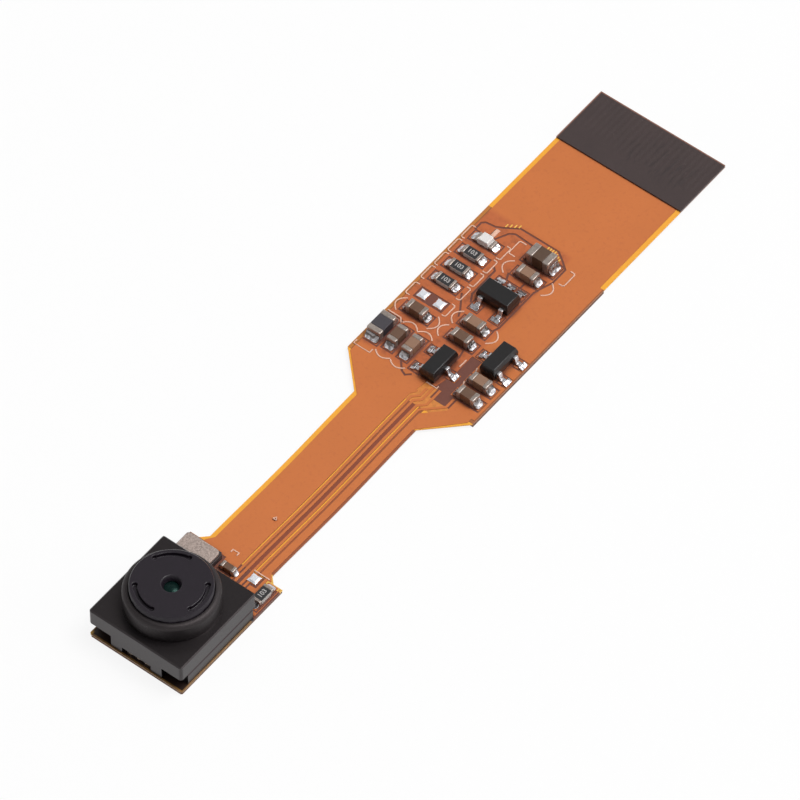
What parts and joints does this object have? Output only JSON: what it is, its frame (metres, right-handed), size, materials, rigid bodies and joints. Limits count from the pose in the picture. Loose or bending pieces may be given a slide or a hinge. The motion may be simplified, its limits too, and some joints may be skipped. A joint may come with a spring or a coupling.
{
  "type": "flexible circuit camera module",
  "caption": "Miniature camera on a flexible circuit: square lens head, narrow neck, stiffened parts area and plug-in contact tail.",
  "frame": {"origin": "on the optical axis, at the underside of the stiffener below the lens head", "axes": "+Y from the lens head to the contact tail, +Z the way the lens looks, +X across the circuit"},
  "size_m": [0.0116, 0.0618, 0.0053],
  "materials": {
    "film": "translucent amber film, satin",
    "copper": "copper under an amber cover layer, satin",
    "gold": "gold plating",
    "stiffener": "dark brown stiffener, matt",
    "plate": "brown stiffener plate, matt",
    "holder": "black moulding, fine spark-eroded grain",
    "barrel": "black moulding, matt",
    "lens": "clear optical plastic with a green coating",
    "spacer": "black film ring",
    "filter": "coated glass",
    "cover_glass": "clear glass",
    "die": "polished silicon",
    "solder": "bright solder",
    "ceramic": "brown ceramic",
    "crystal_base": "dark ceramic",
    "crystal_lid": "plated metal lid, satin",
    "ferrite": "dark grey ferrite",
    "resistor": "white ceramic",
    "resistor_coat": "black glaze",
    "end_cap": "tinned end caps",
    "lamp_base": "white laminate",
    "lamp_lens": "clear cast resin",
    "package": "black moulding compound",
    "lead": "tinned leads"
  },
  "bodies": {
    "root": {"base_film": "film", "top_copper": "copper", "bottom_copper": "copper", "via_pads": "gold", "contact_fingers": "gold", "tail_stiffener": "stiffener", "parts_stiffener": "plate", "head_stiffener": "plate", "lens_holder": "holder", "lens_barrel": "barrel", "front_lens": "lens", "second_lens": "lens", "third_lens": "lens", "rear_lens": "lens", "front_spacer": "spacer", "middle_spacer": "spacer", "rear_spacer": "spacer", "retaining_ring": "spacer", "infrared_filter": "filter", "sensor_cover_glass": "cover_glass", "sensor_die": "die", "sensor_solder_balls": "solder", "slot_capacitors": "ceramic", "crystal_base": "crystal_base", "crystal_lid": "crystal_lid", "capacitor_1": "ceramic", "capacitor_2": "ceramic", "capacitor_3": "ceramic", "capacitor_4": "ceramic", "capacitor_5": "ceramic", "capacitor_6": "ceramic", "capacitor_7": "ceramic", "capacitor_8": "ceramic", "capacitor_9": "ceramic", "supply_capacitor": "ceramic", "ferrite_bead": "ferrite", "resistor_1": "resistor", "resistor_2": "resistor", "resistor_3": "resistor", "head_resistor": "resistor", "resistor_coats": "resistor_coat", "end_caps": "end_cap", "lamp_base": "lamp_base", "lamp_lens": "lamp_lens", "regulator_body": "package", "regulator_leads": "lead", "left_transistor_body": "package", "left_transistor_leads": "lead", "right_transistor_body": "package", "right_transistor_leads": "lead", "solder_joints": "solder", "spare_pads": "solder"}
  },
  "joints": []
}
